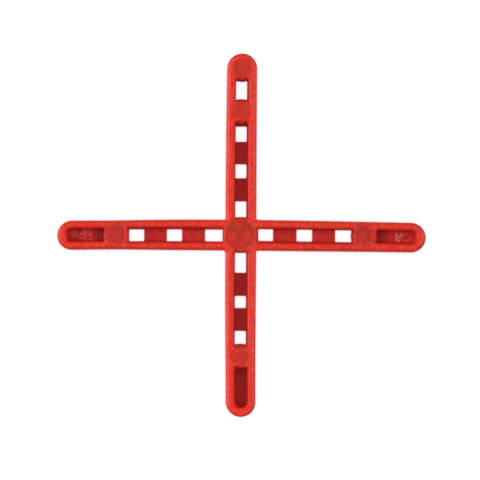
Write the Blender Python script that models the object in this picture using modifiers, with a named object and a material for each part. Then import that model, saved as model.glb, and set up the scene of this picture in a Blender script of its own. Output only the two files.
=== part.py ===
"""Tile spacer: a long cross moulded in one piece of red plastic.

Two arms cross at a round hub. The arms are as wide as the joint that they hold open, and a tile's
corner goes in each of the four quarters between them. The cross lies on its flat back with its open
side up: every arm is a trough between two rails, with thin webs across the bottom, windows through
between the webs, and round bosses where the ejector pins pushed the moulding out.

The origin is at the middle of the back, +X is along the east arm, +Y along the north arm and +Z out
of the open side. Places along an arm are measured from the middle of the hub.
"""

import math
from collections import namedtuple

import bmesh
import bpy
from mathutils import Matrix

MM = 0.001

# Outside of the cross
JOINT_WIDTH = 6.35 * MM  # across an arm beside the hub: the joint that the spacer sets
TIP_WIDTH = 6.12 * MM  # across an arm at its round tip, so the arms taper a little
SPAN_EAST_WEST = 76.70 * MM  # from tip to tip
SPAN_NORTH_SOUTH = 75.66 * MM
THICKNESS = 5.0 * MM
CROTCH_RADIUS = 0.65 * MM  # inner corners between the arms
EDGE_ROUND = 0.56 * MM  # upper outer edge
BACK_BREAK = 0.12 * MM  # lower outer edge, only broken

# Trough along each arm
TROUGH_WIDTH = 2.62 * MM  # between the rails, at the floor
FLOOR_THICKNESS = 1.5 * MM  # webs and pocket floors
WALL_DRAFT = math.radians(1.5)  # walls lean so that the moulding leaves its cores
RIM_ROUND = 0.45 * MM  # upper inner edge of rails, hub and bosses
WEB_LENGTH = 4.70 * MM
TIP_WALL = 1.93 * MM  # left round the end of a tip pocket
POCKET_CORNER = 0.85 * MM

# Windows through the floor
WINDOW_WIDTH = 2.50 * MM
WINDOW_CORNER = 0.25 * MM
WINDOW_STEP = 0.05 * MM  # ledge where a window's core stands on the trough's core

# Hub and bosses, with the round marks that the ejector pins leave in them
HUB_DIAMETER = 7.15 * MM
HUB_MARK_DIAMETER = 5.86 * MM
BOSS_DIAMETER = 4.90 * MM
PIN_MARK_DIAMETER = 3.60 * MM
MARK_DEPTH = 0.12 * MM
END_BOSS_INSET = 2.88 * MM  # from the tip to the middle of a boss that stands at the tip

# Facets
TIP_STEPS = 26
CROTCH_STEPS = 5
CORNER_STEPS = 5
BOSS_STEPS = 10
ROUND_STEPS = 4
MARK_STEPS = 40

# How far a cutter runs past the surface that it cuts
OVERRUN = 1.0 * MM

RED = (0.73, 0.045, 0.026, 1.0)

# An arm is set out from the hub: window, web, window, web, window, foot, boss. The windows were cored
# by hand-set pins, so each arm has its own. The foot is floor left between the last window and the
# boss. Past the boss is a pocket, or a fourth window and a second boss at the very tip.
Arm = namedtuple("Arm", "name turn reach windows foot boss_at_tip tip_corner")
ARMS = (
    Arm(
        name="east",
        turn=0.0,
        reach=SPAN_EAST_WEST / 2,
        windows=(3.13 * MM, 3.45 * MM, 3.45 * MM),
        foot=0.0,
        boss_at_tip=False,
        tip_corner=POCKET_CORNER,
    ),
    Arm(
        name="north",
        turn=math.pi / 2,
        reach=SPAN_NORTH_SOUTH / 2,
        windows=(3.46 * MM, 3.03 * MM, 3.28 * MM),
        foot=0.36 * MM,
        boss_at_tip=True,
        tip_corner=POCKET_CORNER,
    ),
    Arm(
        name="west",
        turn=math.pi,
        reach=SPAN_EAST_WEST / 2,
        windows=(3.82 * MM, 3.32 * MM, 3.27 * MM),
        foot=0.0,
        boss_at_tip=False,
        tip_corner=POCKET_CORNER,
    ),
    Arm(
        name="south",
        turn=-math.pi / 2,
        reach=SPAN_NORTH_SOUTH / 2,
        windows=(4.19 * MM, 2.70 * MM, 2.82 * MM),
        foot=0.0,
        boss_at_tip=False,
        tip_corner=TROUGH_WIDTH / 2,
    ),
)

# One end of a core, seen in plan: straight with round corners, or hollowed by a boss beyond it
Straight = namedtuple("Straight", "place corner")
Hollow = namedtuple("Hollow", "centre radius")


def arc(centre, radius, start, end, steps):
    """Points along an arc between two angles in degrees, both ends included."""
    angles = [math.radians(start + (end - start) * i / steps) for i in range(steps + 1)]
    return [(centre[0] + radius * math.cos(a), centre[1] + radius * math.sin(a)) for a in angles]


def turned(point, angle):
    """A point of an arm's own plan, turned to where the arm lies."""
    u, v = point
    return (u * math.cos(angle) - v * math.sin(angle), u * math.sin(angle) + v * math.cos(angle))


def draft(height):
    """How far a leaning wall moves sideways over a height."""
    return height * math.tan(WALL_DRAFT)


def at_back(diameter):
    """Radius at the back of a round boss whose size is given at its top."""
    return diameter / 2 + draft(THICKNESS)


def cross_outline():
    """The plan of the whole cross: a round tip and then a hollow corner for each arm in turn."""
    tip = TIP_WIDTH / 2
    corner = JOINT_WIDTH / 2 + CROTCH_RADIUS
    points = []
    for arm in ARMS:
        own = arc((arm.reach - tip, 0), tip, -90, 90, TIP_STEPS)
        own += arc((corner, corner), CROTCH_RADIUS, 270, 180, CROTCH_STEPS)
        points += [turned(point, arm.turn) for point in own]
    return points


def boss_places(arm):
    """The middles of an arm's bosses, counted outwards."""
    first = at_back(HUB_DIAMETER) + sum(arm.windows) + 2 * WEB_LENGTH + arm.foot + at_back(BOSS_DIAMETER)
    return [first, arm.reach - END_BOSS_INSET] if arm.boss_at_tip else [first]


def end_points(end, outward, half_width, grow):
    """One end of a core, walked from its right side to its left as seen from the core's middle."""
    half = half_width + grow
    if isinstance(end, Hollow):
        radius = end.radius - grow
        sweep = math.degrees(math.asin(half / radius))
        points = arc((0, 0), radius, 180 + sweep, 180 - sweep, BOSS_STEPS)
        points = [(end.centre * outward + u, v) for u, v in points]
    else:
        corner = min(end.corner + grow, half)
        u = end.place * outward + grow - corner
        v = half - corner
        points = arc((u, -v), corner, -90, 0, CORNER_STEPS) + arc((u, v), corner, 0, 90, CORNER_STEPS)
    return [(u * outward, v * outward) for u, v in points]


def core_outline(inner, outer, half_width, grow):
    """Plan of a core between two ends, grown outwards all round by an amount."""
    return end_points(outer, 1, half_width, grow) + end_points(inner, -1, half_width, grow)


def mesh_object(name, bm, collection):
    """A new object from a bmesh, with smooth round faces and sharp corners."""
    mesh = bpy.data.meshes.new(name)
    bm.to_mesh(mesh)
    bm.free()
    mesh.shade_smooth()
    mesh.set_sharp_from_angle(angle=math.radians(40))
    thing = bpy.data.objects.new(name, mesh)
    collection.objects.link(thing)
    return thing


def as_cutter(thing):
    thing.hide_render = True
    thing.display_type = "WIRE"
    return thing


def loft(name, sections, collection):
    """A closed solid through plans that have the same number of points, given as (height, plan)."""
    bm = bmesh.new()
    rings = [[bm.verts.new((x, y, z)) for x, y in plan] for z, plan in sections]
    for low, high in zip(rings, rings[1:]):
        for i in range(len(low)):
            j = (i + 1) % len(low)
            bm.faces.new((low[i], low[j], high[j], high[i]))
    bm.faces.new(reversed(rings[0]))
    bm.faces.new(rings[-1])
    bmesh.ops.recalc_face_normals(bm, faces=bm.faces)
    return mesh_object(name, bm, collection)


def core(name, arm, inner, outer, half_width, levels, collection):
    """A mould core on one arm. Its levels are (height, how far its plan has grown there)."""
    sections = []
    for z, grow in levels:
        plan = core_outline(inner, outer, half_width, grow)
        sections.append((z, [turned(point, arm.turn) for point in plan]))
    return as_cutter(loft(name, sections, collection))


def trough_levels():
    """A trough's core leans from the floor up to the rim, rolls out round the rim and runs on."""
    rim = THICKNESS - RIM_ROUND
    levels = [(FLOOR_THICKNESS, 0.0), (rim, draft(rim - FLOOR_THICKNESS))]
    for i in range(1, ROUND_STEPS + 1):
        angle = math.pi / 2 * i / ROUND_STEPS
        z = rim + RIM_ROUND * math.sin(angle)
        levels.append((z, levels[1][1] + RIM_ROUND * (1 - math.cos(angle))))
    return levels + [(THICKNESS + OVERRUN, levels[-1][1])]


def window_levels():
    """A window's core keeps the same lean, from past the back to inside the trough."""
    top = FLOOR_THICKNESS + BACK_BREAK
    return [(-OVERRUN, draft(-OVERRUN)), (top, draft(top))]


def make_blank(collection):
    """The solid cross before it is cored, with its upper edge rounded and its lower edge broken."""
    curve = bpy.data.curves.new("spacer_cross", "CURVE")
    curve.dimensions = "2D"
    curve.fill_mode = "BOTH"
    curve.extrude = THICKNESS / 2
    outline = cross_outline()
    spline = curve.splines.new("POLY")
    spline.points.add(len(outline) - 1)
    for point, (x, y) in zip(spline.points, outline):
        point.co = (x, y, 0, 1)
    spline.use_cyclic_u = True
    flat = bpy.data.objects.new("outline", curve)
    collection.objects.link(flat)
    graph = bpy.context.evaluated_depsgraph_get()
    plate = bpy.data.meshes.new_from_object(flat.evaluated_get(graph))
    bpy.data.objects.remove(flat)

    bm = bmesh.new()
    bm.from_mesh(plate)
    bmesh.ops.remove_doubles(bm, verts=bm.verts, dist=0.001 * MM)
    bmesh.ops.translate(bm, verts=bm.verts, vec=(0, 0, THICKNESS / 2))
    bmesh.ops.dissolve_limit(bm, angle_limit=math.radians(1), verts=bm.verts, edges=bm.edges)
    bmesh.ops.recalc_face_normals(bm, faces=bm.faces)
    weights = bm.edges.layers.float.new("bevel_weight_edge")
    for edge in bm.edges:
        if edge.calc_face_angle() < math.radians(80):
            continue
        upper = edge.verts[0].co.z > THICKNESS / 2
        edge[weights] = 1.0 if upper else BACK_BREAK / EDGE_ROUND
    bpy.data.meshes.remove(plate)
    blank = mesh_object("spacer_cross", bm, collection)

    rounding = blank.modifiers.new("edges", "BEVEL")
    rounding.limit_method = "WEIGHT"
    rounding.width = EDGE_ROUND
    rounding.segments = ROUND_STEPS
    return blank


def make_trough_cores(collection):
    """The deep cores, one between each neighbouring pair of hub, bosses and tip."""
    floor_draft = draft(THICKNESS - FLOOR_THICKNESS)
    hub = Hollow(0.0, HUB_DIAMETER / 2 + floor_draft)
    for arm in ARMS:
        bosses = [Hollow(place, BOSS_DIAMETER / 2 + floor_draft) for place in boss_places(arm)]
        ends = [hub] + bosses
        if not arm.boss_at_tip:
            ends.append(Straight(arm.reach - TIP_WALL - floor_draft, arm.tip_corner))
        for number, (inner, outer) in enumerate(zip(ends, ends[1:])):
            name = f"{arm.name}_trough_{number}"
            core(name, arm, inner, outer, TROUGH_WIDTH / 2, trough_levels(), collection)


def make_window_cores(collection):
    """The small cores through the floor between the webs, and one between two bosses."""
    boss_back = at_back(BOSS_DIAMETER) + WINDOW_STEP
    hub = Hollow(0.0, at_back(HUB_DIAMETER) + WINDOW_STEP)
    for arm in ARMS:
        bosses = [Hollow(place, boss_back) for place in boss_places(arm)]
        first_web = at_back(HUB_DIAMETER) + arm.windows[0]
        second_web = first_web + WEB_LENGTH + arm.windows[1]
        last_end = bosses[0]
        if arm.foot > 0:
            last_end = Straight(second_web + WEB_LENGTH + arm.windows[2], WINDOW_CORNER)
        windows = [
            (hub, Straight(first_web, WINDOW_CORNER)),
            (Straight(first_web + WEB_LENGTH, WINDOW_CORNER), Straight(second_web, WINDOW_CORNER)),
            (Straight(second_web + WEB_LENGTH, WINDOW_CORNER), last_end),
        ]
        if arm.boss_at_tip:
            windows.append((bosses[0], bosses[1]))
        for number, (inner, outer) in enumerate(windows):
            name = f"{arm.name}_window_{number}"
            core(name, arm, inner, outer, WINDOW_WIDTH / 2, window_levels(), collection)


def make_mark(name, diameter, place, collection):
    """The shallow round mark of one ejector pin."""
    bm = bmesh.new()
    bmesh.ops.create_cone(
        bm,
        cap_ends=True,
        segments=MARK_STEPS,
        radius1=diameter / 2,
        radius2=diameter / 2,
        depth=MARK_DEPTH + OVERRUN,
        matrix=Matrix.Translation((place[0], place[1], THICKNESS + (OVERRUN - MARK_DEPTH) / 2)),
    )
    return as_cutter(mesh_object(name, bm, collection))


def make_marks(collection):
    make_mark("hub_mark", HUB_MARK_DIAMETER, (0.0, 0.0), collection)
    for arm in ARMS:
        for number, place in enumerate(boss_places(arm)):
            centre = turned((place, 0.0), arm.turn)
            make_mark(f"{arm.name}_mark_{number}", PIN_MARK_DIAMETER, centre, collection)


def cut(thing, cutters):
    """Take every cutter of a collection out of an object, all at once, because the cores overlap."""
    boolean = thing.modifiers.new("cores", "BOOLEAN")
    boolean.operation = "DIFFERENCE"
    boolean.solver = "EXACT"
    boolean.operand_type = "COLLECTION"
    boolean.collection = cutters


def red_plastic():
    """Glossy pigment in a surface dulled by the mould's spark-eroded texture."""
    material = bpy.data.materials.new("red_plastic")
    material.use_nodes = True
    shader = material.node_tree.nodes["Principled BSDF"]
    shader.inputs["Base Color"].default_value = RED
    shader.inputs["Metallic"].default_value = 0.0
    shader.inputs["Roughness"].default_value = 0.46
    material.diffuse_color = RED
    return material


def new_collection(name):
    collection = bpy.data.collections.new(name)
    bpy.context.scene.collection.children.link(collection)
    return collection


for old in list(bpy.data.objects):
    bpy.data.objects.remove(old)

spacer = new_collection("tile_spacer")
cores = new_collection("tile_spacer_cores")
cross = make_blank(spacer)
cross.data.materials.append(red_plastic())
make_trough_cores(cores)
make_window_cores(cores)
make_marks(cores)
cut(cross, cores)
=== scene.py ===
"""Scene of a tile spacer: one long cross moulded in red plastic, lying on a pale floor.

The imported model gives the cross's box and its place. This script makes the same moulding again in finer
detail, the way the mould makes it: a blank with the outside of the cavity, hollowed by the cores that form
the troughs and windows and by the pins that push it out, each of which leaves its own finish.
"""

import math
from collections import namedtuple

import bmesh
import bpy
from mathutils import Matrix, Vector


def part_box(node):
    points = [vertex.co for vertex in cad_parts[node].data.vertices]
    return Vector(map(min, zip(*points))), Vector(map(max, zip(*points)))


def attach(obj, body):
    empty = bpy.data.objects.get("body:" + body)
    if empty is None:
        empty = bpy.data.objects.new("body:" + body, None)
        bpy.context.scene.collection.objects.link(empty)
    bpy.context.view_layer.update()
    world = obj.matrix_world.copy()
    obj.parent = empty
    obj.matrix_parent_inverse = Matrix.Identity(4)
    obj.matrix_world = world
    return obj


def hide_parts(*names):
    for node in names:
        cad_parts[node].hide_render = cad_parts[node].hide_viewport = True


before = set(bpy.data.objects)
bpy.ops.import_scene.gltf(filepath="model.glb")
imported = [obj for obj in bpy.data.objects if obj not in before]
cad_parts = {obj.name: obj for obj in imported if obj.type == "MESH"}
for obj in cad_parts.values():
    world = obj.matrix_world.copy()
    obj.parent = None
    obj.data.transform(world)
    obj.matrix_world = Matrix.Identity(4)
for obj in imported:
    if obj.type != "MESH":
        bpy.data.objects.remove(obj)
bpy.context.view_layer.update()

scene = bpy.context.scene
MM = 0.001

# The whole cross is one injection moulding in red plastic. Its outside is the cavity's: spark-eroded all
# over, with a round upper edge and a lower edge that is only broken. The arms taper to round tips. As the
# plastic cools, each arm leans and bows a little, and its sides sink beside the thick boss.
JOINT_WIDTH = 6.40 * MM
TIP_WIDTH = 6.17 * MM
EDGE_ROUND = 0.78 * MM
BACK_BREAK = 0.12 * MM
SINK_LENGTH = 9.0 * MM
SIDE_STEP = 1.2 * MM
ROUND_STEPS = 7
BREAK_STEPS = 3
TIP_STEPS = 44
CROTCH_STEPS = 8

low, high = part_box("spacer_cross")
THICKNESS = high.z

# Lengths along an arm are counted from the hub outwards. Leans, bows and shifts are to the left on the way out.
Arm = namedtuple(
    "Arm",
    "name turn reach lean bow sink windows webs window_width window_shift ledge flat_end"
    " trough trough_shift pocket pocket_shift boss boss_at_tip tip_corner tip_lean crotch_radius",
)
ARMS = (
    Arm(
        name="east",
        turn=0.0,
        reach=high.x + 0.18 * MM,
        lean=-0.165 * MM,
        bow=-0.104 * MM,
        sink=0.06 * MM,
        windows=(3.07 * MM, 3.29 * MM, 3.30 * MM),
        webs=(4.89 * MM, 4.78 * MM),
        window_width=2.50 * MM,
        window_shift=0.085 * MM,
        ledge=0.21 * MM,
        flat_end=False,
        boss=4.98 * MM,
        boss_at_tip=False,
        trough=2.62 * MM,
        trough_shift=0.0,
        pocket=2.50 * MM,
        pocket_shift=0.10 * MM,
        tip_corner=0.85 * MM,
        tip_lean=math.radians(2.0),
        crotch_radius=0.45 * MM,
    ),
    Arm(
        name="north",
        turn=math.pi / 2,
        reach=high.y + 0.06 * MM,
        lean=0.149 * MM,
        bow=-0.192 * MM,
        sink=0.0,
        windows=(3.42 * MM, 2.95 * MM, 3.22 * MM),
        webs=(4.82 * MM, 4.69 * MM),
        window_width=2.41 * MM,
        window_shift=0.09 * MM,
        ledge=0.44 * MM,
        flat_end=True,
        boss=4.76 * MM,
        boss_at_tip=True,
        trough=2.52 * MM,
        trough_shift=-0.05 * MM,
        pocket=2.52 * MM,
        pocket_shift=0.0,
        tip_corner=0.85 * MM,
        tip_lean=0.0,
        crotch_radius=0.32 * MM,
    ),
    Arm(
        name="west",
        turn=math.pi,
        reach=-low.x - 0.08 * MM,
        lean=-0.033 * MM,
        bow=0.338 * MM,
        sink=0.25 * MM,
        windows=(3.82 * MM, 3.22 * MM, 3.17 * MM),
        webs=(4.78 * MM, 4.72 * MM),
        window_width=2.51 * MM,
        window_shift=0.085 * MM,
        ledge=0.01 * MM,
        flat_end=True,
        boss=5.00 * MM,
        boss_at_tip=False,
        trough=2.62 * MM,
        trough_shift=0.0,
        pocket=2.46 * MM,
        pocket_shift=-0.06 * MM,
        tip_corner=0.85 * MM,
        tip_lean=math.radians(7.0),
        crotch_radius=0.65 * MM,
    ),
    Arm(
        name="south",
        turn=-math.pi / 2,
        reach=-low.y + 0.03 * MM,
        lean=0.049 * MM,
        bow=0.175 * MM,
        sink=0.08 * MM,
        windows=(4.15 * MM, 2.57 * MM, 2.72 * MM),
        webs=(4.83 * MM, 4.76 * MM),
        window_width=2.36 * MM,
        window_shift=-0.03 * MM,
        ledge=0.11 * MM,
        flat_end=False,
        boss=4.90 * MM,
        boss_at_tip=False,
        trough=2.54 * MM,
        trough_shift=0.04 * MM,
        pocket=2.50 * MM,
        pocket_shift=0.10 * MM,
        tip_corner=1.31 * MM,
        tip_lean=math.radians(4.0),
        crotch_radius=0.38 * MM,
    ),
)
CROTCH = 3.85 * MM  # from here outwards an arm leans and bows
SINK_PLACE = 27.0 * MM  # where its sides have sunk most
HUB_SHIFT = Vector((-0.08 * MM, 0.06 * MM))


def arc(centre, radius, start, end, steps):
    """Points along an arc between two angles in degrees, both ends included."""
    angles = [math.radians(start + (end - start) * i / steps) for i in range(steps + 1)]
    return [(centre[0] + radius * math.cos(a), centre[1] + radius * math.sin(a)) for a in angles]


def along(start, end):
    """Places between two ends of a straight side, both left out, close enough together for it to bow."""
    count = math.ceil(abs(end - start) / SIDE_STEP)
    return [start + (end - start) * i / count for i in range(1, count)]


def placed(arm, point):
    """A point of an arm's own straight plan, moved to where the cooled arm lies."""
    u, v = point
    share = max(u - CROTCH, 0.0) / (arm.reach - CROTCH)
    v += arm.lean * share + arm.bow * share**2
    cos, sin = math.cos(arm.turn), math.sin(arm.turn)
    return (u * cos - v * sin, u * sin + v * cos)


def half_width(arm, u):
    """Half an arm's width at a place along it."""
    taper = (JOINT_WIDTH - TIP_WIDTH) * (u / arm.reach) ** 2
    sink = arm.sink * math.exp(-(((u - SINK_PLACE) / SINK_LENGTH) ** 2))
    return (JOINT_WIDTH - taper - sink) / 2


def cross_outline(grow):
    """Plan of the cross, grown outwards all round: up an arm, round its tip, back, and round the crotch."""
    points = []
    for arm, last in zip(ARMS, ARMS[-1:] + ARMS[:-1]):
        tip = half_width(arm, arm.reach - TIP_WIDTH / 2)
        shoulder = arm.reach - tip
        foot = JOINT_WIDTH / 2 + arm.crotch_radius
        last_foot = JOINT_WIDTH / 2 + last.crotch_radius
        own = [(u, -half_width(arm, u) - grow) for u in along(last_foot, shoulder)]
        own += arc((shoulder, 0), tip + grow, -90, 90, TIP_STEPS)
        own += [(u, half_width(arm, u) + grow) for u in along(shoulder, foot)]
        own += arc((foot, foot), arm.crotch_radius - grow, 270, 180, CROTCH_STEPS)
        points += [placed(arm, point) for point in own]
    return points


def rounding(start, radius, steps, turned_up):
    """Levels (height, growth) of a quarter round that starts at a height, without the first of them."""
    angles = [math.pi / 2 * i / steps for i in range(1, steps + 1)]
    if turned_up:
        return [(start + radius * math.sin(a), radius * (math.cos(a) - 1)) for a in angles]
    return [(start + radius * (1 - math.cos(a)), radius * math.sin(a)) for a in angles]


def made_of(bm, name, finish=None):
    """An object in the scene made of a built mesh, with one finish all over."""
    mesh = bpy.data.meshes.new(name)
    bm.to_mesh(mesh)
    bm.free()
    if finish:
        mesh.materials.append(finish)
    thing = bpy.data.objects.new(name, mesh)
    scene.collection.objects.link(thing)
    return thing


def loft(name, sections, finish):
    """A closed solid through plans that have the same number of points, given as (height, plan)."""
    bm = bmesh.new()
    rings = [[bm.verts.new((x, y, z)) for x, y in plan] for z, plan in sections]
    for lower, upper in zip(rings, rings[1:]):
        for i in range(len(lower)):
            j = (i + 1) % len(lower)
            bm.faces.new((lower[i], lower[j], upper[j], upper[i]))
    bm.faces.new(reversed(rings[0]))
    bm.faces.new(rings[-1])
    bmesh.ops.recalc_face_normals(bm, faces=bm.faces)
    return made_of(bm, name, finish)


def new_material(name):
    """A material, with its node tree and its shader."""
    material = bpy.data.materials.new(name)
    material.use_nodes = True
    return material, material.node_tree, material.node_tree.nodes["Principled BSDF"]


def feed(tree, socket, value):
    """Gives a socket of a node tree a number, a colour, or the value of another node."""
    if isinstance(value, (int, float, tuple)):
        socket.default_value = value
    else:
        tree.links.new(value, socket)


def combined(tree, operation, *values):
    """What one step of arithmetic makes of numbers and of other nodes' values."""
    node = tree.nodes.new("ShaderNodeMath")
    node.operation = operation
    for socket, value in zip(node.inputs, values):
        feed(tree, socket, value)
    return node.outputs["Value"]


# Pale patches in the skin's colour: partly a bloom on the plastic, partly painted glints.
GLINT_BLOOM_SIZE = 0.60 * MM
GLINT_BLOOM_TINT = (0.8, 1.0, 0.9)
GRAIN_POLISH = 1.2


def eroded_skin():
    """Node group for a moulded skin: mottled pigment, pale patches that are partly a bloom and partly painted
    glints, and the grain that the mould prints.
    """
    group = bpy.data.node_groups.new("moulded_skin", "ShaderNodeTree")
    for name, kind, default in (
        ("Colour", "NodeSocketColor", (0.6, 0.03, 0.02, 1)),
        ("Shade", "NodeSocketFloat", 1.0),
        ("Mottle", "NodeSocketFloat", 0.1),
        ("Mottle Size", "NodeSocketFloat", 4.0 * MM),
        ("Speckle", "NodeSocketFloat", 0.1),
        ("Grain Size", "NodeSocketFloat", 0.3 * MM),
        ("Bloom", "NodeSocketFloat", 0.1),
        ("Roughness", "NodeSocketFloat", 0.5),
    ):
        group.interface.new_socket(name, in_out="INPUT", socket_type=kind).default_value = default
    for name, kind in (
        ("Colour", "NodeSocketColor"),
        ("Roughness", "NodeSocketFloat"),
        ("Height", "NodeSocketFloat"),
    ):
        group.interface.new_socket(name, in_out="OUTPUT", socket_type=kind)
    nodes, links = group.nodes, group.links
    given = nodes.new("NodeGroupInput")
    result = nodes.new("NodeGroupOutput")
    place = nodes.new("ShaderNodeTexCoord")

    def noise(size, detail, roughness):
        """Noise about nought, in cells of about the given size."""
        node = nodes.new("ShaderNodeTexNoise")
        links.new(place.outputs["Object"], node.inputs["Vector"])
        links.new(combined(group, "DIVIDE", 1.0, size), node.inputs["Scale"])
        node.inputs["Detail"].default_value = detail
        node.inputs["Roughness"].default_value = roughness
        return combined(group, "SUBTRACT", node.outputs["Fac"], 0.5)

    def scaled(colour, factor):
        """A colour times a value."""
        node = nodes.new("ShaderNodeVectorMath")
        node.operation = "SCALE"
        feed(group, node.inputs[0], colour)
        links.new(factor, node.inputs["Scale"])
        return node.outputs["Vector"]

    grain = noise(given.outputs["Grain Size"], 2.0, 0.6)
    speckle = combined(group, "MULTIPLY", grain, given.outputs["Speckle"])
    cloud = noise(given.outputs["Mottle Size"], 1.0, 0.5)
    mottle = combined(group, "MULTIPLY", cloud, given.outputs["Mottle"])
    change = combined(group, "ADD", 1.0, combined(group, "ADD", speckle, mottle))
    pigment = scaled(given.outputs["Colour"], combined(group, "MULTIPLY", change, given.outputs["Shade"]))
    # Pale patches, partly bloom and partly painted glints.
    patches = noise(GLINT_BLOOM_SIZE, 1.0, 0.5)
    bloom = scaled(GLINT_BLOOM_TINT, combined(group, "MULTIPLY", patches, given.outputs["Bloom"]))
    both = nodes.new("ShaderNodeVectorMath")
    both.operation = "ADD"
    links.new(pigment, both.inputs[0])
    links.new(bloom, both.inputs[1])
    links.new(both.outputs["Vector"], result.inputs["Colour"])
    polish = combined(group, "MULTIPLY", speckle, GRAIN_POLISH)
    links.new(combined(group, "SUBTRACT", given.outputs["Roughness"], polish), result.inputs["Roughness"])
    links.new(grain, result.inputs["Height"])
    return group


MOULDED_SKIN = eroded_skin()
PLASTIC_IOR = 1.49


def plastic(name, colour, roughness, gloss, mottle, mottle_size, speckle, grain_size, relief, bloom):
    """The red plastic with the skin that one part of the mould leaves on it. Gives its skin node as well."""
    material, tree, shader = new_material(name)
    skin = tree.nodes.new("ShaderNodeGroup")
    skin.node_tree = MOULDED_SKIN
    skin.inputs["Colour"].default_value = colour
    skin.inputs["Mottle"].default_value = mottle
    skin.inputs["Mottle Size"].default_value = mottle_size
    skin.inputs["Speckle"].default_value = speckle
    skin.inputs["Grain Size"].default_value = grain_size
    skin.inputs["Roughness"].default_value = roughness
    skin.inputs["Bloom"].default_value = bloom
    bump = tree.nodes.new("ShaderNodeBump")
    bump.inputs["Distance"].default_value = relief
    tree.links.new(skin.outputs["Height"], bump.inputs["Height"])
    tree.links.new(skin.outputs["Colour"], shader.inputs["Base Color"])
    tree.links.new(skin.outputs["Roughness"], shader.inputs["Roughness"])
    tree.links.new(bump.outputs["Normal"], shader.inputs["Normal"])
    shader.inputs["IOR"].default_value = PLASTIC_IOR
    shader.inputs["Specular IOR Level"].default_value = gloss
    material.diffuse_color = colour
    return material, skin


RED = (0.695, 0.021, 0.003, 1)
outside_finish, outside_skin = plastic(
    "red_plastic",
    RED,
    roughness=0.32,
    gloss=0.38,
    mottle=0.20,
    mottle_size=2.0 * MM,
    speckle=0.30,
    grain_size=0.36 * MM,
    relief=0.13 * MM,
    bloom=0.09,
)

levels = [(0.0, -BACK_BREAK)]
levels += [(z, grow - BACK_BREAK) for z, grow in rounding(0.0, BACK_BREAK, BREAK_STEPS, False)]
levels.append((THICKNESS - EDGE_ROUND, 0.0))
levels += rounding(THICKNESS - EDGE_ROUND, EDGE_ROUND, ROUND_STEPS, True)
blank = loft("moulded_cross", [(z, cross_outline(grow)) for z, grow in levels], outside_finish)

# The troughs are left by deep cores, one between each neighbouring pair of hub, bosses and tip. Their walls
# lean for draft, meet the floor in a small fillet and roll out into a round rim. The cores are smoother than
# the cavity, most of all in the tip pockets. Round the hub and bosses the rims have painted shade and painted
# light.
FLOOR_THICKNESS = 1.5 * MM
FLOOR_FILLET = 0.16 * MM
WALL_DRAFT = math.radians(1.5)
RIM_ROUND = 0.57 * MM
TIP_WALL = 1.93 * MM
HUB_DIAMETER = 7.15 * MM
END_BOSS_INSET = 2.95 * MM
BOSS_CORNER = 0.35 * MM
OVERRUN = 1.0 * MM
CORNER_STEPS = 7
BOSS_STEPS = 22

Straight = namedtuple("Straight", "place corner lean")
Hollow = namedtuple("Hollow", "centre radius corner")


def draft(height):
    """How far a leaning wall moves sideways over a height."""
    return height * math.tan(WALL_DRAFT)


def at_back(diameter):
    """Radius at the back of a round boss whose size is given at its top."""
    return diameter / 2 + draft(THICKNESS)


def hub_place(arm):
    """Where the hub's middle lies along an arm, a little off the point where the arms meet."""
    return HUB_SHIFT.x * math.cos(arm.turn) + HUB_SHIFT.y * math.sin(arm.turn)


def boss_places(arm):
    """The middles of an arm's bosses, counted outwards."""
    first = at_back(HUB_DIAMETER) + sum(arm.windows) + sum(arm.webs) + arm.ledge + at_back(arm.boss)
    return [first, arm.reach - END_BOSS_INSET] if arm.boss_at_tip else [first]


def end_points(end, outward, half, height, grow):
    """One end of a core, walked from its right side to its left as seen from the core's middle."""
    half += grow
    corner = end.corner + grow
    if isinstance(end, Hollow):
        radius = end.radius - grow
        v = half - corner
        u = math.sqrt((radius + corner) ** 2 - v**2)
        sweep = math.degrees(math.atan2(v, u))
        u, middle = end.centre * outward - u, (end.centre * outward, 0)
        points = arc((u, -v), corner, -90, sweep, CORNER_STEPS)
        points += arc(middle, radius, 180 + sweep, 180 - sweep, BOSS_STEPS)[1:-1]
        points += arc((u, v), corner, -sweep, 90, CORNER_STEPS)
    else:
        corner = min(corner, half)
        u = end.place * outward + end.lean * (height - FLOOR_THICKNESS) + grow - corner
        v = half - corner
        points = arc((u, -v), corner, -90, 0, CORNER_STEPS) + arc((u, v), corner, 0, 90, CORNER_STEPS)
    return [(u * outward, v * outward) for u, v in points]


def core(name, arm, inner, outer, half, levels, finish, shift):
    """A mould core on one arm. Its levels are (height, how far its plan has grown there)."""
    sections = []
    count = None
    for z, grow in levels:
        far = end_points(outer, 1, half, z, grow)
        near = end_points(inner, -1, half, z, grow)
        if count is None:
            count = max(2, math.ceil(abs(far[0][0] - near[0][0]) / SIDE_STEP))
        left = [(far[-1][0] + (near[0][0] - far[-1][0]) * i / count, far[-1][1]) for i in range(1, count)]
        right = [(near[-1][0] + (far[0][0] - near[-1][0]) * i / count, near[-1][1]) for i in range(1, count)]
        sections.append((z, [placed(arm, (u, v + shift)) for u, v in far + left + near + right]))
    return loft(name, sections, finish)


ALONG_X_STARTS = 2.0 * MM
ALONG_X_ENDS = 9.0 * MM


def own_axes(tree, kind="Object"):
    """The X, Y and Z of the point that a node tree is shading."""
    place = tree.nodes.new("ShaderNodeTexCoord")
    parts = tree.nodes.new("ShaderNodeSeparateXYZ")
    tree.links.new(place.outputs[kind], parts.inputs["Vector"])
    return parts.outputs


def carried(tree, value, start, end, at_start, at_end, how="LINEAR"):
    """An amount that goes from one value to another while the value it follows goes from start to end."""
    node = tree.nodes.new("ShaderNodeMapRange")
    node.interpolation_type = how
    for name, amount in (
        ("Value", value),
        ("From Min", start),
        ("From Max", end),
        ("To Min", at_start),
        ("To Max", at_end),
    ):
        feed(tree, node.inputs[name], amount)
    return node.outputs["Result"]


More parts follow.
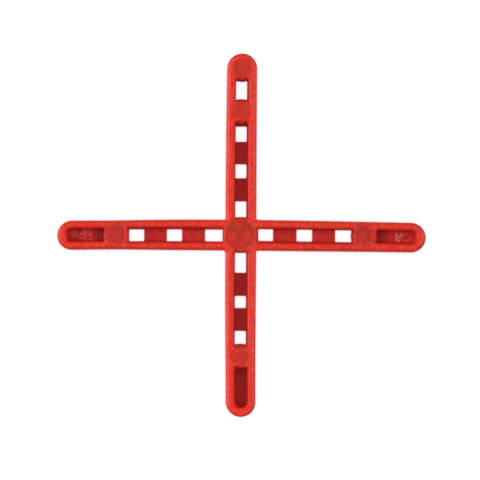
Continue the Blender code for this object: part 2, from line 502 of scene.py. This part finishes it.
def along_x(tree, least):
    """A painted shade that falls from one in the middle to the least of it on the two arms that lie along X."""
    distance = combined(tree, "ABSOLUTE", own_axes(tree)["X"])
    return carried(tree, distance, ALONG_X_STARTS, ALONG_X_ENDS, 1.0, least, "SMOOTHSTEP")


def near_rounds(tree, rounds):
    """A shade that differs from one near some rounds, each given as (middle, radius, how far out, shade)."""
    place = tree.nodes.new("ShaderNodeTexCoord")
    plan = tree.nodes.new("ShaderNodeVectorMath")
    plan.operation = "MULTIPLY"
    plan.inputs[1].default_value = (1.0, 1.0, 0.0)
    tree.links.new(place.outputs["Object"], plan.inputs[0])
    shade = 1.0
    for (x, y), radius, edge, nearest in rounds:
        distance = tree.nodes.new("ShaderNodeVectorMath")
        distance.operation = "DISTANCE"
        distance.inputs[1].default_value = (x, y, 0.0)
        tree.links.new(plan.outputs["Vector"], distance.inputs[0])
        fade = carried(tree, distance.outputs["Value"], radius, radius + edge, nearest, 1.0, "SMOOTHSTEP")
        shade = combined(tree, "MULTIPLY", shade, fade)
    return shade


# The trough's red is painted darker on the two arms along X, and darker or paler at the rims round the hub and
# bosses: painted shade and painted light.
TROUGH_ALONG_X = 0.89
BOSS_EDGE = 0.22 * MM
HUB_RIM_SHADE = 0.92
# Painted shade of the trough's skin close to each boss of an arm; where it is above one, painted light.
RIM_SHADES = {"east": (0.82,), "north": (0.88, 1.25), "west": (1.30,), "south": (0.84,)}
# Painted shade of a pocket's skin at the rim of its boss.
POCKET_RIM_SHADES = {"east": 0.84, "west": 0.82, "south": 0.60}

# Darker than the outside's red: painted shade inside the troughs and pockets.
SHADED_CORE_RED = (0.615, 0.018, 0.0125, 1)
trough_finish, trough_skin = plastic(
    "red_plastic_trough",
    SHADED_CORE_RED,
    roughness=0.32,
    gloss=0.23,
    mottle=0.15,
    mottle_size=1.5 * MM,
    speckle=0.30,
    grain_size=0.36 * MM,
    relief=0.08 * MM,
    bloom=0.05,
)
trough_tree = trough_finish.node_tree
rims = [(tuple(HUB_SHIFT), HUB_DIAMETER / 2, BOSS_EDGE, HUB_RIM_SHADE)]
for arm in ARMS:
    for place, shade in zip(boss_places(arm), RIM_SHADES[arm.name]):
        rims.append((placed(arm, (place, 0.0)), arm.boss / 2, BOSS_EDGE, shade))
trough_shade = combined(
    trough_tree,
    "MULTIPLY",
    along_x(trough_tree, TROUGH_ALONG_X),
    near_rounds(trough_tree, rims),
)
trough_tree.links.new(trough_shade, trough_skin.inputs["Shade"])

# Heights between which the pocket's painted shade fades out up the walls.
POCKET_SHADE_HEIGHT = (2.6 * MM, 4.4 * MM)


def pocket_finish(arm, shaded_to, shade):
    """The finish of a tip pocket, with painted shade on its floor beside the boss and at the boss's rim."""
    finish, skin = plastic(
        f"red_plastic_{arm.name}_pocket",
        SHADED_CORE_RED,
        roughness=0.29,
        gloss=0.18,
        mottle=0.25,
        mottle_size=1.2 * MM,
        speckle=0.35,
        grain_size=0.40 * MM,
        relief=0.09 * MM,
        bloom=0.05,
    )
    tree = finish.node_tree
    place = tree.nodes.new("ShaderNodeTexCoord")
    reach = tree.nodes.new("ShaderNodeVectorMath")
    reach.operation = "LENGTH"
    tree.links.new(place.outputs["Object"], reach.inputs[0])
    outwards = carried(tree, reach.outputs["Value"], *shaded_to, shade, 1.0, "SMOOTHSTEP")
    upwards = carried(tree, own_axes(tree)["Z"], *POCKET_SHADE_HEIGHT, shade, 1.0, "SMOOTHSTEP")
    # The painted shade beside the boss, kept to the floor and the foot of the walls.
    polish = combined(tree, "MAXIMUM", outwards, upwards)
    boss = (placed(arm, (boss_places(arm)[0], 0.0)), arm.boss / 2, BOSS_EDGE, POCKET_RIM_SHADES[arm.name])
    tree.links.new(combined(tree, "MULTIPLY", polish, near_rounds(tree, [boss])), skin.inputs["Shade"])
    return finish


# How far from the middle of the cross the painted shade beside the boss starts to fade and has gone, and its
# shade.
POCKET_FLOOR_SHADES = {
    "east": ((28.6 * MM, 31.0 * MM), 0.62),
    "west": ((29.3 * MM, 31.6 * MM), 0.52),
    "south": ((27.4 * MM, 33.0 * MM), 0.95),
}
POCKET_FINISHES = {arm.name: pocket_finish(arm, *POCKET_FLOOR_SHADES[arm.name]) for arm in ARMS if arm.name in POCKET_FLOOR_SHADES}

rim = THICKNESS - RIM_ROUND
trough_levels = [(FLOOR_THICKNESS, -FLOOR_FILLET)]
trough_levels += [
    (z, grow - FLOOR_FILLET + draft(z - FLOOR_THICKNESS))
    for z, grow in rounding(FLOOR_THICKNESS, FLOOR_FILLET, BREAK_STEPS, False)
]
trough_levels.append((rim, draft(rim - FLOOR_THICKNESS)))
trough_levels += [
    (z, draft(rim - FLOOR_THICKNESS) - grow) for z, grow in rounding(rim, RIM_ROUND, ROUND_STEPS, True)
]
trough_levels.append((THICKNESS + OVERRUN, trough_levels[-1][1]))

cutters = []
floor_draft = draft(THICKNESS - FLOOR_THICKNESS)
for arm in ARMS:
    ends = [Hollow(hub_place(arm), HUB_DIAMETER / 2 + floor_draft, BOSS_CORNER)]
    ends += [Hollow(place, arm.boss / 2 + floor_draft, BOSS_CORNER) for place in boss_places(arm)]
    if not arm.boss_at_tip:
        lean = math.tan(arm.tip_lean)
        foot = arm.reach - TIP_WALL - floor_draft - lean * (THICKNESS - FLOOR_THICKNESS)
        ends.append(Straight(foot, arm.tip_corner, lean))
    for number, (inner, outer) in enumerate(zip(ends, ends[1:])):
        name = f"{arm.name}_trough_{number}"
        finish, width, shift = trough_finish, arm.trough, arm.trough_shift
        if isinstance(outer, Straight):
            finish, width, shift = POCKET_FINISHES[arm.name], arm.pocket, arm.pocket_shift
        cutters.append(core(name, arm, inner, outer, width / 2, trough_levels, finish, shift))

# The floors of two tip pockets have a rough pad, a hair lower than the floor round it, where the core is
# eroded more coarsely. Its paler colour and its strong pale patches are painted glints.
Pad = namedtuple("Pad", "start stop paler bloom")
PADS = {
    "east": Pad(start=32.3 * MM, stop=35.5 * MM, paler=1.9, bloom=0.75),
    "west": Pad(start=30.9 * MM, stop=35.2 * MM, paler=1.3, bloom=0.36),
}
PAD_WIDTH = 2.00 * MM
PAD_DEPTH = 0.04 * MM
PAD_CORNER = 0.30 * MM
PAD_REDDER = 1.03

pad_levels = [(FLOOR_THICKNESS - PAD_DEPTH, 0.0), (FLOOR_THICKNESS + FLOOR_FILLET, 0.0)]
for arm in ARMS:
    if arm.name in PADS:
        pad = PADS[arm.name]
        # Paler than the floor, with strong pale patches: painted glints.
        pad_finish, _ = plastic(
            f"red_plastic_{arm.name}_pad",
            (SHADED_CORE_RED[0] * PAD_REDDER, SHADED_CORE_RED[1] * pad.paler, SHADED_CORE_RED[2] * pad.paler, 1),
            roughness=0.36,
            gloss=0.40,
            mottle=0.30,
            mottle_size=1.0 * MM,
            speckle=0.60,
            grain_size=0.55 * MM,
            relief=0.25 * MM,
            bloom=pad.bloom,
        )
        inner, outer = Straight(pad.start, PAD_CORNER, 0.0), Straight(pad.stop, PAD_CORNER, 0.0)
        cutters.append(
            core(f"{arm.name}_pad", arm, inner, outer, PAD_WIDTH / 2, pad_levels, pad_finish, arm.pocket_shift)
        )

# The windows go through the floor between the webs, where small cores stood on the deep ones. Their edges
# are crisp, because that is where the two met.
WINDOW_CORNER = 0.25 * MM
HUB_END_RADIUS = 7.0 * MM
BOSS_END_RADIUS = 3.2 * MM
HUB_LEDGE = 0.04 * MM
TIP_LEDGE = 0.24 * MM

window_top = FLOOR_THICKNESS + FLOOR_FILLET
window_levels = [(-OVERRUN, draft(-OVERRUN)), (window_top, draft(window_top))]


def across(place):
    """A window's end that runs straight across the arm."""
    return Straight(place, WINDOW_CORNER, 0.0)


def curved(place, outward, radius=BOSS_END_RADIUS):
    """A window's end that follows a hub or a boss beyond it, outwards (1) or inwards (-1), in a flatter arc."""
    return Hollow(place + outward * radius, radius, WINDOW_CORNER)


for arm in ARMS:
    places = [at_back(HUB_DIAMETER)]
    for length in (arm.windows[0], arm.webs[0], arm.windows[1], arm.webs[1], arm.windows[2]):
        places.append(places[-1] + length)
    windows = [
        (curved(hub_place(arm) + places[0] + HUB_LEDGE, -1, HUB_END_RADIUS), across(places[1])),
        (across(places[2]), across(places[3])),
        (across(places[4]), across(places[5]) if arm.flat_end else curved(places[5], 1)),
    ]
    if arm.boss_at_tip:
        near, far = boss_places(arm)
        gap = at_back(arm.boss) + TIP_LEDGE
        windows.append((curved(near + gap, -1), curved(far - gap, 1)))
    for number, (inner, outer) in enumerate(windows):
        name = f"{arm.name}_window_{number}"
        half = arm.window_width / 2
        cutters.append(core(name, arm, inner, outer, half, window_levels, trough_finish, arm.window_shift))

# Ejector pins push the moulding off its cores, one at the hub and one at each boss. Each leaves a shallow
# round mark, smoother and darker than the skin round it, a little off the middle, and a little deeper or
# shallower than the next. Round each mark the skin has a ring of painted shade, and the marks have painted
# shade and some painted highlights.
PIN_MARK_DIAMETER = 3.80 * MM
MARK_DEPTH = 0.065 * MM
MARK_DEPTH_SPREAD = 0.02 * MM
MARK_SEED = 4
MARK_FILLET = 0.030 * MM
MARK_DISH = 0.05 * MM
DISH_STEPS = 8
MARK_STEPS = 96
MERGE_DISTANCE = 0.0005 * MM

Pin = namedtuple("Pin", "place diameter halo")


def pin_beside(middle, x, y, diameter, halo):
    """A pin at a place east and north of the middle of its hub or boss, all given in millimetres."""
    return Pin(Vector(middle) + Vector((x, y)) * MM, diameter * MM, halo * MM)


# Place east and north, diameter, and width of the painted shade round it.
HUB_PIN = (-0.085, 0.085, 6.00, 1.2)
ARM_PINS = {
    "east": ((-0.28, 0.22, 3.62, 1.3),),
    "north": ((0.0, 0.07, 3.74, 0.7), (0.0, -0.10, 3.74, 0.6)),
    "west": ((0.05, 0.13, 3.74, 1.2),),
    "south": ((-0.15, 0.10, 3.66, 0.6),),
}
PINS = [pin_beside(HUB_SHIFT, *HUB_PIN)]
for arm in ARMS:
    for place, row in zip(boss_places(arm), ARM_PINS[arm.name]):
        PINS.append(pin_beside(placed(arm, (place, 0.0)), *row))

# The outside's red is painted darker on the two arms along X and in a ring round each pin mark: painted shade.
OUTSIDE_ALONG_X = 0.925
HALO_SHADE = 0.81
outside_tree = outside_finish.node_tree
halos = [(pin.place, pin.diameter / 2, pin.halo, HALO_SHADE) for pin in PINS]
outside_shade = combined(
    outside_tree,
    "MULTIPLY",
    along_x(outside_tree, OUTSIDE_ALONG_X),
    near_rounds(outside_tree, halos),
)
outside_tree.links.new(outside_shade, outside_skin.inputs["Shade"])

MARK_RED = (0.50, 0.0165, 0.003, 1)
# Millimetres north of the middle of the cross, and the painted shade there.
MARK_SHADES = ((-15, 1.0), (-4, 0.94), (-0.4, 0.90), (1.3, 0.80), (3.0, 0.82), (15, 1.0))
MARK_SPAN = 40 * MM
MARKS_ALONG_X = 0.95
# Painted highlights in the marks: place, radius, width of the fading edge, and shade, in millimetres.
HIGHLIGHT_SPOTS = (
    ((-1.88, 0.05), 0.55, 0.80, 1.20),
    ((1.38, -0.26), 0.25, 0.45, 1.20),
    ((-0.22, 1.93), 0.20, 0.40, 1.12),
    ((0.70, -0.68), 0.20, 0.40, 1.12),
    ((-27.40, -0.15), 0.50, 0.80, 1.15),
    ((-24.55, 0.10), 0.20, 0.60, 1.12),
)
mark_finish, mark_skin = plastic(
    "red_plastic_pin_mark",
    MARK_RED,
    roughness=0.34,
    gloss=0.34,
    mottle=0.5,
    mottle_size=1.8 * MM,
    speckle=0.12,
    grain_size=0.35 * MM,
    relief=0.008 * MM,
    bloom=0.05,
)


def mark_shade(tree):
    """Painted shade on the marks from south to north: least at the two far arms, most on the hub's north half.
    """
    ramp = tree.nodes.new("ShaderNodeValToRGB")
    elements = ramp.color_ramp.elements
    elements.remove(elements[1])
    for number, (y, shade) in enumerate(MARK_SHADES):
        position = 0.5 + y * MM / MARK_SPAN / 2
        element = elements.new(position) if number else elements[0]
        element.position = position
        element.color = (shade, shade, shade, 1)
    share = carried(tree, own_axes(tree)["Y"], -MARK_SPAN, MARK_SPAN, 0.0, 1.0)
    tree.links.new(share, ramp.inputs["Fac"])
    return ramp.outputs["Color"]


mark_tree = mark_finish.node_tree
highlight_spots = [((x * MM, y * MM), radius * MM, edge * MM, shade) for (x, y), radius, edge, shade in HIGHLIGHT_SPOTS]
# The marks are also painted darker on the two arms along X: painted shade.
even_shade = combined(mark_tree, "MULTIPLY", mark_shade(mark_tree), along_x(mark_tree, MARKS_ALONG_X))
spotted_shade = combined(mark_tree, "MULTIPLY", even_shade, near_rounds(mark_tree, highlight_spots))
mark_tree.links.new(spotted_shade, mark_skin.inputs["Shade"])


def pin_tip():
    """The tip of a small ejector pin, turned from its profile, with its edge at the boss's top."""
    radius = PIN_MARK_DIAMETER / 2
    shares = [i / DISH_STEPS for i in range(DISH_STEPS)]
    turns = [math.pi / 2 * i / BREAK_STEPS for i in range(BREAK_STEPS + 1)]
    profile = [(radius * share, MARK_DISH * (1 - share**4) - MARK_DEPTH) for share in shares]
    profile += [
        (radius - MARK_FILLET * (1 - math.sin(a)), MARK_FILLET * (1 - math.cos(a)) - MARK_DEPTH) for a in turns
    ]
    profile.append((radius, -MARK_FILLET))
    profile += [(radius + MARK_FILLET * (1 - math.cos(a)), MARK_FILLET * (math.sin(a) - 1)) for a in turns[1:]]
    profile += [(profile[-1][0], OVERRUN), (0.0, OVERRUN)]
    bm = bmesh.new()
    verts = [bm.verts.new((r, 0.0, z)) for r, z in profile]
    edges = [bm.edges.new(pair) for pair in zip(verts, verts[1:])]
    bmesh.ops.spin(
        bm,
        geom=verts + edges,
        cent=(0, 0, 0),
        axis=(0, 0, 1),
        angle=2 * math.pi,
        steps=MARK_STEPS,
        use_merge=True,
    )
    bmesh.ops.remove_doubles(bm, verts=bm.verts, dist=MERGE_DISTANCE)
    bmesh.ops.recalc_face_normals(bm, faces=bm.faces)
    return made_of(bm, "pin_tip")


def pin_places():
    """A point for each pin, at the height of the boss tops, with the diameter of the pin there."""
    mesh = bpy.data.meshes.new("pin_places")
    mesh.from_pydata([(*pin.place, THICKNESS) for pin in PINS], [], [])
    diameters = mesh.attributes.new("diameter", "FLOAT", "POINT")
    for item, pin in zip(diameters.data, PINS):
        item.value = pin.diameter
    points = bpy.data.objects.new("ejector_pins", mesh)
    scene.collection.objects.link(points)
    return points


def pin_tree():
    """Geometry Nodes that set a pin tip on each point, scaled to its diameter and a little up or down."""
    tree = bpy.data.node_groups.new("ejector_pins", "GeometryNodeTree")
    tree.interface.new_socket("Geometry", in_out="INPUT", socket_type="NodeSocketGeometry")
    for name, kind in (
        ("Pin Tip", "NodeSocketObject"),
        ("Tip Diameter", "NodeSocketFloat"),
        ("Depth Spread", "NodeSocketFloat"),
        ("Seed", "NodeSocketInt"),
        ("Finish", "NodeSocketMaterial"),
    ):
        tree.interface.new_socket(name, in_out="INPUT", socket_type=kind)
    tree.interface.new_socket("Geometry", in_out="OUTPUT", socket_type="NodeSocketGeometry")
    nodes, links = tree.nodes, tree.links
    given = nodes.new("NodeGroupInput")
    result = nodes.new("NodeGroupOutput")

    tip = nodes.new("GeometryNodeObjectInfo")
    links.new(given.outputs["Pin Tip"], tip.inputs["Object"])

    diameter = nodes.new("GeometryNodeInputNamedAttribute")
    diameter.data_type = "FLOAT"
    diameter.inputs["Name"].default_value = "diameter"
    share = combined(tree, "DIVIDE", diameter.outputs["Attribute"], given.outputs["Tip Diameter"])
    scale = nodes.new("ShaderNodeCombineXYZ")
    links.new(share, scale.inputs["X"])
    links.new(share, scale.inputs["Y"])
    scale.inputs["Z"].default_value = 1.0

    least = combined(tree, "MULTIPLY", given.outputs["Depth Spread"], -1.0)
    depth = nodes.new("FunctionNodeRandomValue")
    depth.data_type = "FLOAT"
    links.new(least, depth.inputs[2])
    links.new(given.outputs["Depth Spread"], depth.inputs[3])
    links.new(given.outputs["Seed"], depth.inputs["Seed"])
    lift = nodes.new("ShaderNodeCombineXYZ")
    links.new(depth.outputs[1], lift.inputs["Z"])
    settle = nodes.new("GeometryNodeSetPosition")
    links.new(given.outputs["Geometry"], settle.inputs["Geometry"])
    links.new(lift.outputs["Vector"], settle.inputs["Offset"])

    pins = nodes.new("GeometryNodeInstanceOnPoints")
    links.new(settle.outputs["Geometry"], pins.inputs["Points"])
    links.new(tip.outputs["Geometry"], pins.inputs["Instance"])
    links.new(scale.outputs["Vector"], pins.inputs["Scale"])
    realise = nodes.new("GeometryNodeRealizeInstances")
    links.new(pins.outputs["Instances"], realise.inputs["Geometry"])
    finish = nodes.new("GeometryNodeSetMaterial")
    links.new(realise.outputs["Geometry"], finish.inputs["Geometry"])
    links.new(given.outputs["Finish"], finish.inputs["Material"])
    links.new(finish.outputs["Geometry"], result.inputs["Geometry"])
    return tree


def as_mesh(thing):
    """Turns an object's evaluated modifiers into its own plain mesh."""
    graph = bpy.context.evaluated_depsgraph_get()
    mesh = bpy.data.meshes.new_from_object(thing.evaluated_get(graph))
    thing.modifiers.clear()
    thing.data = mesh
    return thing


tip = pin_tip()
pins = pin_places()
setting = pins.modifiers.new("ejector_pins", "NODES")
setting.node_group = pin_tree()
values = {
    "Pin Tip": tip,
    "Tip Diameter": PIN_MARK_DIAMETER,
    "Depth Spread": MARK_DEPTH_SPREAD,
    "Seed": MARK_SEED,
    "Finish": mark_finish,
}
for item in setting.node_group.interface.items_tree:
    if item.in_out == "INPUT" and item.name in values:
        setting[item.identifier] = values[item.name]
cutters.append(as_mesh(pins))
bpy.data.objects.remove(tip)

# The moulding itself: the blank less all its cores and pins at once, because they overlap. Each face has the
# finish of the core or pin that left it.
SHARP_ANGLE = math.radians(40)

cores = bpy.data.collections.new("cores")
for cutter in cutters:
    cores.objects.link(cutter)
hollowing = blank.modifiers.new("cores", "BOOLEAN")
hollowing.operation = "DIFFERENCE"
hollowing.solver = "EXACT"
hollowing.operand_type = "COLLECTION"
hollowing.collection = cores
hollowing.material_mode = "TRANSFER"
cross = as_mesh(blank)
for cutter in cutters:
    bpy.data.objects.remove(cutter)
cross.data.shade_smooth()
cross.data.set_sharp_from_angle(angle=SHARP_ANGLE)
shading = cross.modifiers.new("shading", "WEIGHTED_NORMAL")
shading.keep_sharp = True
as_mesh(cross)
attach(cross, "root")
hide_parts("spacer_cross")

# The floor is pale and lit from within, so that the cross throws no shadow on it and shows white through
# its windows. Close round the cross it has a painted shadow tinted red, and under the arms it is dimmer in
# reflections: painted shade.
FLOOR_COLOUR = (0.05, 0.05, 0.05, 1)
FLOOR_GLOW = 0.97
FLOOR_BOUNCE = 0.25
FLOOR_GLEAM = 0.75
WINDOW_GLEAM = 0.22
FRINGE = 0.40 * MM
FRINGE_NEAREST = (0.5, 0.5, 0.5)
SHADOW_FRINGE_TINT = (0.90, 0.56, 0.58)
FLOOR_REACH = 1.5

floor_finish, floor_tree, floor_shader = new_material("pale_floor")
floor_shader.inputs["Base Color"].default_value = FLOOR_COLOUR
floor_shader.inputs["Roughness"].default_value = 1.0
floor_shader.inputs["Specular IOR Level"].default_value = 0.0
# A painted contact shadow with a red tint, where the floor is close to the cross.
nearness = floor_tree.nodes.new("ShaderNodeAmbientOcclusion")
nearness.inputs["Distance"].default_value = FRINGE
glow = floor_tree.nodes.new("ShaderNodeMapRange")
glow.data_type = "FLOAT_VECTOR"
# The sockets for vectors: 6 is the value, 7 the least of it, and 9 and 10 are what it gives.
glow.inputs[7].default_value = FRINGE_NEAREST
glow.inputs[9].default_value = SHADOW_FRINGE_TINT
glow.inputs[10].default_value = (1.0, 1.0, 1.0)
floor_tree.links.new(nearness.outputs["AO"], glow.inputs[6])
floor_tree.links.new(glow.outputs["Vector"], floor_shader.inputs["Emission Color"])
# Under the arms the floor is dimmer to reflected rays: painted shade under the cross.
under = own_axes(floor_tree)
off_x, off_y = combined(floor_tree, "ABSOLUTE", under["X"]), combined(floor_tree, "ABSOLUTE", under["Y"])
off_arms = combined(floor_tree, "MINIMUM", off_x, off_y)
side = JOINT_WIDTH / 2
open_floor = carried(floor_tree, off_arms, side, side + FRINGE, WINDOW_GLEAM, FLOOR_GLEAM)
ray = floor_tree.nodes.new("ShaderNodeLightPath")
gleam = carried(floor_tree, ray.outputs["Is Glossy Ray"], 0.0, 1.0, FLOOR_BOUNCE, open_floor)
strength = carried(floor_tree, ray.outputs["Is Camera Ray"], 0.0, 1.0, gleam, FLOOR_GLOW)
floor_tree.links.new(strength, floor_shader.inputs["Emission Strength"])
bm = bmesh.new()
bmesh.ops.create_grid(bm, x_segments=1, y_segments=1, size=FLOOR_REACH)
floor = made_of(bm, "floor", floor_finish)

# Two tall soft boxes, a strong one on the left and a weaker one on the right, and a little light all round,
# more of it from above and from the north.
# From and to which part of the sky, and the light at each.
NORTH_LIGHT = (-0.8, 0.8, 0.72, 1.28)
UPPER_LIGHT = (0.0, 1.0, 0.05, 0.74)


def soft_box(name, place, width, height, power, tint):
    """A rectangular lamp that faces the cross, its height along the room's north-south line."""
    lamp = bpy.data.lights.new(name, "AREA")
    lamp.shape = "RECTANGLE"
    lamp.size = width
    lamp.size_y = height
    lamp.energy = power
    lamp.color = tint
    box = bpy.data.objects.new(name, lamp)
    box.location = place
    box.rotation_euler = (-Vector(place)).to_track_quat("-Z", "Y").to_euler()
    scene.collection.objects.link(box)


soft_box(
    "left_soft_box",
    place=(-0.84, 0.06, 0.56),
    width=0.45,
    height=0.95,
    power=9.0,
    tint=(1.0, 0.96, 0.90),
)
soft_box(
    "right_soft_box",
    place=(0.84, 0.06, 0.56),
    width=0.45,
    height=0.95,
    power=4.9,
    tint=(1.0, 0.94, 0.84),
)
world = bpy.data.worlds.new("room")
world.use_nodes = True
sky = world.node_tree.nodes["Background"]
sky.inputs["Color"].default_value = (0.95, 0.97, 1.0, 1)
way = own_axes(world.node_tree, "Generated")
northward = carried(world.node_tree, way["Y"], *NORTH_LIGHT)
upward = carried(world.node_tree, way["Z"], *UPPER_LIGHT)
world.node_tree.links.new(combined(world.node_tree, "MULTIPLY", northward, upward), sky.inputs["Strength"])
scene.world = world

# The camera looks down from high above, a little from the south, and is turned a little, so that the cross
# lies in the frame as it does in the photo.
PHOTO_SIZE = 480
HUB_IN_PHOTO = (240.85, 235.25)
PIXEL = 0.20820 * MM
EYE_DISTANCE = 0.70
TILT = math.radians(0.2)
ROLL = math.radians(0.42)

camera = bpy.data.cameras.new("camera")
camera.sensor_width = 36.0
camera.lens = camera.sensor_width * EYE_DISTANCE / (PHOTO_SIZE * PIXEL)
camera.clip_start = 0.01
eye = bpy.data.objects.new("camera", camera)
turn = Matrix.Rotation(ROLL, 3, "Z") @ Matrix.Rotation(TILT, 3, "X")
middle = Vector(((PHOTO_SIZE / 2 - HUB_IN_PHOTO[0]) * PIXEL, (HUB_IN_PHOTO[1] - PHOTO_SIZE / 2) * PIXEL, 0))
target = turn @ middle + Vector((0, 0, THICKNESS))
eye.location = target + turn @ Vector((0, 0, EYE_DISTANCE))
eye.rotation_euler = turn.to_euler()
scene.collection.objects.link(eye)
scene.camera = eye
scene.view_settings.view_transform = "Standard"
